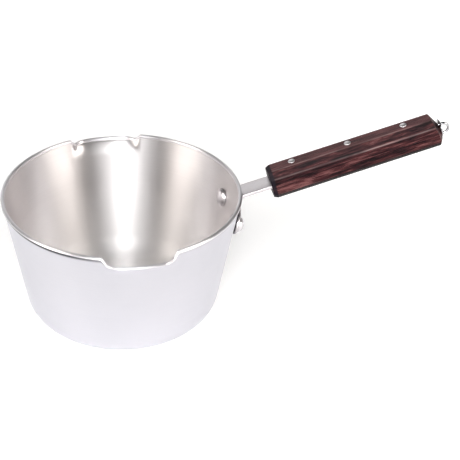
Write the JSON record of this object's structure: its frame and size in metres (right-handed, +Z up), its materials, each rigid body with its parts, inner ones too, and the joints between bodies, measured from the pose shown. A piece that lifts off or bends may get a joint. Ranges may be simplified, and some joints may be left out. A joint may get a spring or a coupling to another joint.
{
  "type": "candle melting pot",
  "caption": "Small aluminium pour pan with a beaded rim, a pour lip on each side and a riveted octagonal wooden grip, used for melting candle wax.",
  "frame": {"origin": "centre of the pan's flat base, on the face it stands on", "axes": "+Z up, +X towards the handle, the two pour lips on +Y and -Y"},
  "size_m": [0.3081, 0.1704, 0.1295],
  "materials": {
    "pan_aluminium": "satin, brushed round the wall",
    "bracket_aluminium": "satin",
    "rivet_aluminium": "satin",
    "grip_wood_upper": "oiled dark hardwood",
    "grip_wood_lower": "oiled dark hardwood",
    "grip_rivet_steel": "polished",
    "plate_steel": "polished",
    "loop_chrome": "bright"
  },
  "bodies": {
    "root": {"pan_body": "pan_aluminium", "handle_bracket": "bracket_aluminium", "pan_rivets": "rivet_aluminium", "grip_upper_scale": "grip_wood_upper", "grip_lower_scale": "grip_wood_lower", "grip_rivets": "grip_rivet_steel", "grip_end_plate": "plate_steel", "hanging_loop": "loop_chrome"}
  },
  "joints": []
}
